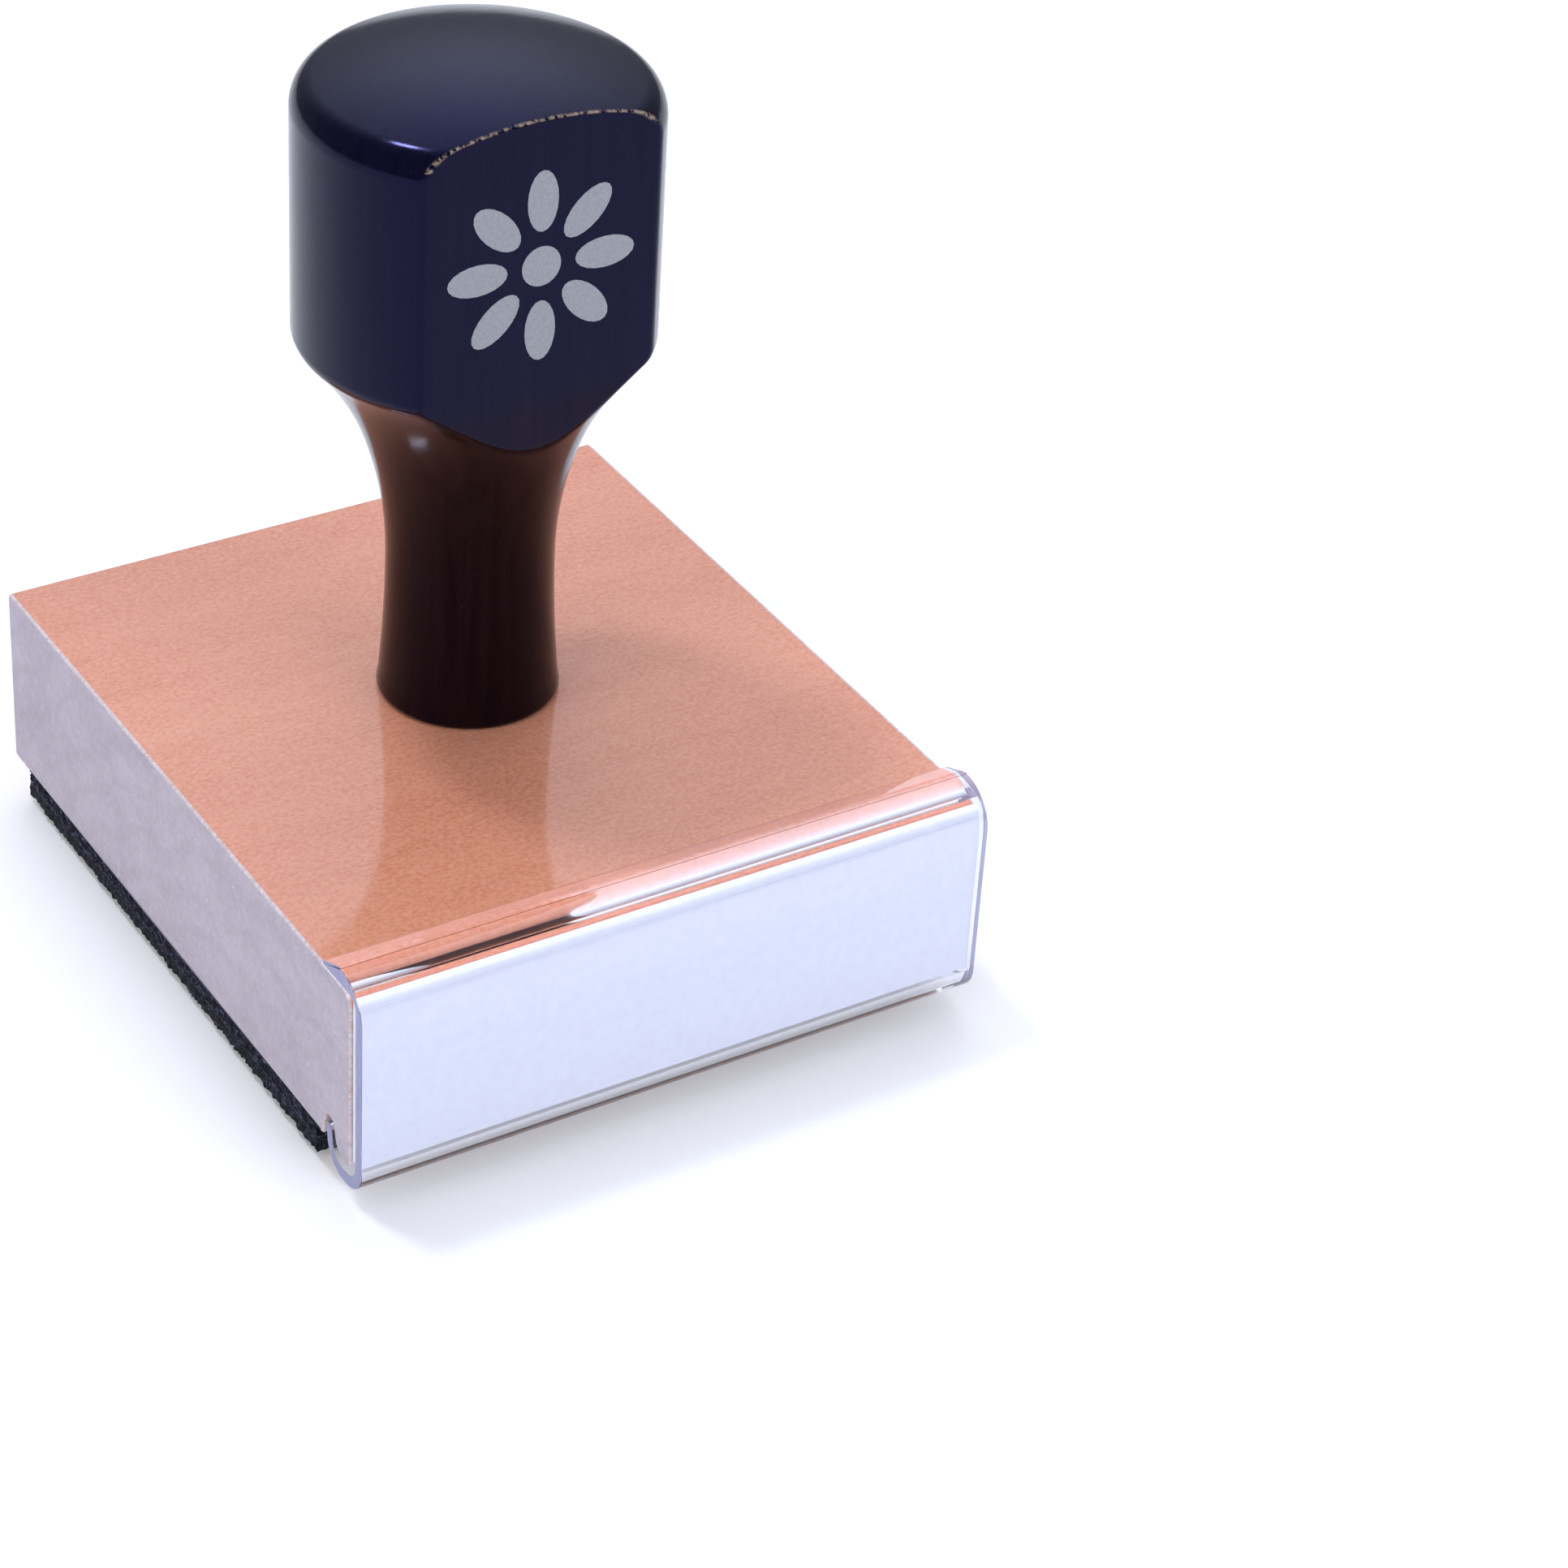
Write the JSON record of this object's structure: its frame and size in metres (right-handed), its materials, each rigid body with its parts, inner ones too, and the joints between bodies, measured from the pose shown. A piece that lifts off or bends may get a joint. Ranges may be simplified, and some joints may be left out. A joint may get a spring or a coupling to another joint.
{
  "type": "wood-mounted rubber stamp",
  "caption": "Hand stamp: a square hardwood mount with a turned black knob handle, a clear hooked index cover with a card behind it, a foam cushion and an engraved rubber die underneath.",
  "frame": {"origin": "centre of the printing face, under the handle's axis", "axes": "+Z from the printing face up through the handle, the index cover faces -Y, +X across the width"},
  "size_m": [0.0636, 0.0731, 0.0876],
  "materials": {
    "block_wood": "clear varnished pinkish maple, fine grain across the width",
    "handle_lacquer": "glossy blue-black lacquer on turned hardwood",
    "screw_steel": "zinc plated",
    "clear_plastic": "clear, polished, faintly blue at its cut edges",
    "card": "smooth white card",
    "adhesive_film": "double-sided film",
    "foam": "dark open foam with a ragged cut edge",
    "die_rubber": "matt engraved rubber"
  },
  "bodies": {
    "block": {"wood_block": "block_wood", "handle": "handle_lacquer", "dowel_screw": "screw_steel", "mount_adhesive": "adhesive_film", "cushion": "foam"},
    "die": {"die_adhesive": "adhesive_film", "rubber_die": "die_rubber"},
    "cover": {"index_cover": "clear_plastic"},
    "label": {"index_label": "card"}
  },
  "joints": [
    {"name": "die_press", "type": "slide", "parent": "block", "child": "die", "axis": [0, 0, 1], "range_m": [0, 0.0008], "stiffness_N_per_m": 50000, "deforming": ["cushion"]},
    {"name": "cover_slide", "type": "slide", "parent": "block", "child": "cover", "axis": [1, 0, 0], "range_m": [0, 0.066]},
    {"name": "label_slide", "type": "slide", "parent": "block", "child": "label", "axis": [1, 0, 0], "range_m": [0, 0.066]}
  ]
}
